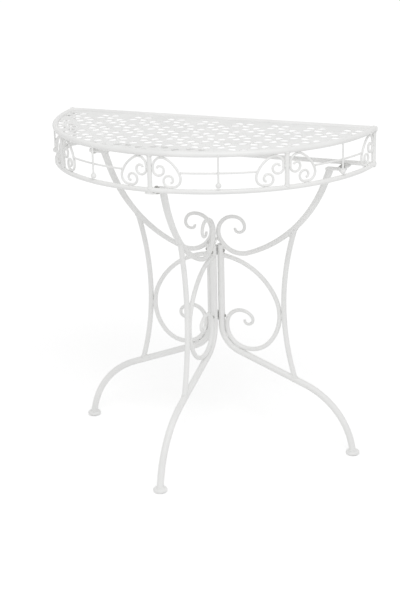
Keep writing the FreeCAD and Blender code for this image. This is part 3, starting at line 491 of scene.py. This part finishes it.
for side, turn in sides.items():
    welds = bmesh.new()
    for joint in (brace_on_arm, brace_on_leg, scroll_on_column, column_on_curl):
        (out, height), angle, bar, lie, seat_bar = joint
        seat = Vector((out, 0, height))
        ahead = heading_of(angle)
        round_weld(welds, seat - ahead * run_up, ahead, bar, seat, heading_of(lie), seat_bar, leg_bead)
    for (out, height), angle, bar in (leg_on_foot, arm_on_tab):
        seat = Vector((out, 0, height))
        ahead = heading_of(angle)
        middle = seat + up * math.copysign(flat_face_bar / 2, ahead.z)
        round_weld(welds, seat - ahead * run_up, ahead, bar, middle, rear, flat_face_bar, leg_bead)
    for face in (-1, 1):
        outward = rear * face
        groove = brace_groove + outward * brace_groove_out
        seam_weld(welds, groove, up, outward, brace_groove_length, groove_bead)
        for angle in bend_angles:
            groove = bend_middle + heading_of(angle) * bend_radius + outward * bend_groove_out
            seam_weld(welds, groove, heading_of(angle + 90), outward, bend_groove_length, groove_bead)
    bmesh.ops.transform(welds, matrix=stand_of(turn), verts=welds.verts)
    set_piece(f"leg_welds_{side}", welds, powder_coat)

# Feet: turned steel buns with a full-round edge, welded to the ankles and coated with the legs.
# Nothing is added to them but the finish.
finish_nodes(powder_coat, "foot_right", "foot_left", "foot_front")

# Column cores: short turned spacers that the three column bars are drawn up to.
# They are coated with the frames.
hubs = ("column_hub_upper", "column_hub_lower")
finish_nodes(powder_coat, *hubs)

# Fasteners: hexagon bolts and nuts at the tabs and button-head screws in the column.
# Zinc-plated steel, bright grey and fine-grained, with a faint mottle from the plating bath.
# The mottle is about 2 mm across.
mottle_size = 2
zinc = bpy.data.materials.new("zinc_plated_steel")
tree = empty_tree(zinc)
place = add(tree, "ShaderNodeTexCoord", {}, {}).outputs["Object"]
mottle = add(tree, "ShaderNodeTexNoise", {}, {"Vector": place, "Scale": 1000 / mottle_size, "Detail": 3})
tint = add(tree, "ShaderNodeValToRGB", {}, {"Fac": mottle.outputs["Fac"]})
tint.color_ramp.elements[0].position = 0.3
tint.color_ramp.elements[0].color = linear("A8A8A6")
tint.color_ramp.elements[1].position = 0.7
tint.color_ramp.elements[1].color = linear("BEBDBA")
gloss = add(tree, "ShaderNodeMapRange", {}, {
    "Value": mottle.outputs["Fac"], "To Min": 0.28, "To Max": 0.42,
})
plate = add(tree, "ShaderNodeBsdfPrincipled", {}, {
    "Base Color": tint.outputs["Color"], "Roughness": gloss.outputs["Result"], "Metallic": 1.0,
})
add(tree, "ShaderNodeOutputMaterial", {}, {"Surface": plate.outputs["BSDF"]})

bolt_foot, nut_foot = box_of("tab_bolts")[0].z, box_of("tab_nuts")[0].z
head_flats, head_high = 11, 4
chamfer_start, chamfer_slope = 5.3, 1.7
thread_long, thread_steps, thread_pitch, thread_middle, thread_deep = 12, 48, 1, 2.82, 0.15
# The button head's profile, as height and radius
button_dome = [(0, 3.8), (0.5, 3.8), (1.1, 3.55), (1.6, 3.1), (2.0, 2.45), (2.2, 1.9)]
button_high, socket_floor, socket_flats = 2.2, 0.9, 2.5
shank_radius, shank_long, shank_gap, shank_sides = 1.9, 18, 0.2, 24


def turned(mesh, rows, matrix, count=48):
    """Rings of a turned or milled form: a row has a height and a radius, which may vary round it."""
    rings = []
    for height, radius in rows:
        ring = []
        for index in range(count):
            angle = math.tau * index / count
            out = radius(angle) if callable(radius) else radius
            point = Vector((out * math.cos(angle), out * math.sin(angle), height))
            ring.append(mesh.verts.new(matrix @ point))
        rings.append(ring)
    for ring, other in zip(rings, rings[1:]):
        for index in range(count):
            mesh.faces.new((ring[index - 1], ring[index], other[index], other[index - 1]))
    mesh.faces.new(rings[0][::-1])
    mesh.faces.new(rings[-1])


def six_sided(flats, limit=math.inf):
    """A hexagon's outline by angle, cut back to a round limit."""
    corner_turn, half = math.pi / 3, math.pi / 6
    return lambda angle: min(flats / 2 / math.cos((angle + half) % corner_turn - half), limit)


def chamfered(rises):
    """Rows of a hexagon whose corners are chamfered at its end."""
    return [(rise, six_sided(head_flats, chamfer_start + chamfer_slope * rise)) for rise in rises]


def threaded(height):
    """A thread's outline at a height, by angle."""
    return lambda angle: thread_middle + thread_deep * math.cos(math.tau * height / thread_pitch - angle)


bolts, nuts, screws = bmesh.new(), bmesh.new(), bmesh.new()
for turn in sides.values():
    stand = stand_of(turn)
    # Hexagon head with its corners chamfered, then the thread, a ridge each millimetre
    base = stand @ Matrix.Translation((lug_out, 0, bolt_foot))
    head = chamfered((0, 0.1, 0.2, 0.35, 0.5, 0.7))
    turned(bolts, head + [(head_high, six_sided(head_flats))], base)
    heights = [head_high + step * thread_long / thread_steps for step in range(thread_steps + 1)]
    turned(bolts, [(height, threaded(height)) for height in heights], base)
    lower = chamfered((0, 0.15, 0.35, 0.7))
    upper = [(head_high - rise, outline) for rise, outline in reversed(lower)]
    turned(nuts, lower + upper, stand @ Matrix.Translation((lug_out, 0, nut_foot)))
    # Button head with a hexagon socket
    for hub in hubs:
        hub_low, hub_high = box_of(hub)
        seat = (column_out + column_bar / 2, 0, (hub_low.z + hub_high.z) / 2)
        lie = stand @ Matrix.Translation(seat) @ Matrix.Rotation(math.pi / 2, 4, "Y")
        socket = [(height, six_sided(socket_flats)) for height in (button_high, socket_floor)]
        turned(screws, button_dome + socket, lie)
        turned(screws, [(-shank_long, shank_radius), (-shank_gap, shank_radius)], lie, shank_sides)
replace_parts(set_piece("hexagon_bolts", bolts, zinc), "tab_bolts")
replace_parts(set_piece("hexagon_nuts", nuts, zinc), "tab_nuts")
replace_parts(set_piece("button_screws", screws, zinc), "hub_bolts")

# Studio: a white floor that shades a little where the table stands, and a white surround.
# The floor is lifted to white only where it is looked at, and keeps the soft shadow.
floor_radius, floor_sides, floor_drop = 16, 96, 0.0005
floor_mesh = bmesh.new()
bmesh.ops.create_circle(floor_mesh, cap_ends=True, segments=floor_sides, radius=floor_radius)
data = bpy.data.meshes.new("floor")
floor_mesh.to_mesh(data)
floor_mesh.free()
floor = bpy.data.objects.new("floor", data)
bpy.context.scene.collection.objects.link(floor)
floor.location.z = -floor_drop


def looked_at(tree):
    """One where the camera looks, straight on, in a mirror or through glass, and nought elsewhere."""
    rays = add(tree, "ShaderNodeLightPath", {}, {}).outputs
    seen = rays["Is Camera Ray"]
    for other in ("Is Glossy Ray", "Is Transmission Ray"):
        seen = add(tree, "ShaderNodeMath", {"operation": "MAXIMUM"}, {0: seen, 1: rays[other]}).outputs[0]
    return seen


paper = bpy.data.materials.new("white_studio_paper")
tree = empty_tree(paper)
place = add(tree, "ShaderNodeTexCoord", {}, {}).outputs["Object"]
away = add(tree, "ShaderNodeVectorMath", {"operation": "LENGTH"}, {0: place})
level = add(tree, "ShaderNodeMapRange", {}, {
    "Value": away.outputs["Value"], "From Min": 0.5, "From Max": 3.0, "To Min": 0.28, "To Max": 0.38,
})
lift = add(tree, "ShaderNodeMath", {"operation": "MULTIPLY"}, {
    0: looked_at(tree), 1: level.outputs["Result"],
})
matt = add(tree, "ShaderNodeBsdfDiffuse", {}, {"Color": linear("F8F8F8")})
glow = add(tree, "ShaderNodeEmission", {}, {"Strength": lift.outputs[0]})
both = add(tree, "ShaderNodeAddShader", {}, {0: matt.outputs["BSDF"], 1: glow.outputs["Emission"]})
add(tree, "ShaderNodeOutputMaterial", {}, {"Surface": both.outputs["Shader"]})
floor.data.materials.append(paper)

world = bpy.data.worlds.new("white_surround")
bpy.context.scene.world = world
tree = empty_tree(world)
level = add(tree, "ShaderNodeMapRange", {}, {"Value": looked_at(tree), "To Min": 0.7, "To Max": 1.0})
sky = add(tree, "ShaderNodeBackground", {}, {
    "Color": linear("FFFFFF"), "Strength": level.outputs["Result"],
})
add(tree, "ShaderNodeOutputWorld", {}, {"Surface": sky.outputs["Background"]})

# One large softbox, high above the camera and a little to its right, aimed at the table's middle.
# The white floor throws its light back up under the apron.
lamp = bpy.data.lights.new("softbox", "AREA")
lamp.energy = 24
lamp.size = 1.6
softbox = bpy.data.objects.new("softbox", lamp)
softbox.location = (1.2, -1.9, 3.0)
aim = Vector((0, 0, 0.45))
softbox.rotation_mode = "QUATERNION"
softbox.rotation_quaternion = (softbox.location - aim).to_track_quat("Z", "Y")
bpy.context.scene.collection.objects.link(softbox)

# Camera, as the table was photographed: from its right front, a little above, on a long lens.
lens = bpy.data.cameras.new("camera")
lens.lens = 84.71
lens.sensor_width = 36
lens.shift_x = -0.0006
lens.shift_y = 0.0006
camera = bpy.data.objects.new("camera", lens)
camera.location = (1.1781, -2.6210, 1.3382)
camera.rotation_mode = "QUATERNION"
away_from_view = Vector((0.38073, -0.86824, 0.31813))
roll_turn = Quaternion((0, 0, 1), math.radians(-1.331))
camera.rotation_quaternion = away_from_view.to_track_quat("Z", "Y") @ roll_turn
bpy.context.scene.collection.objects.link(camera)
bpy.context.scene.camera = camera
bpy.context.scene.view_settings.view_transform = "Standard"
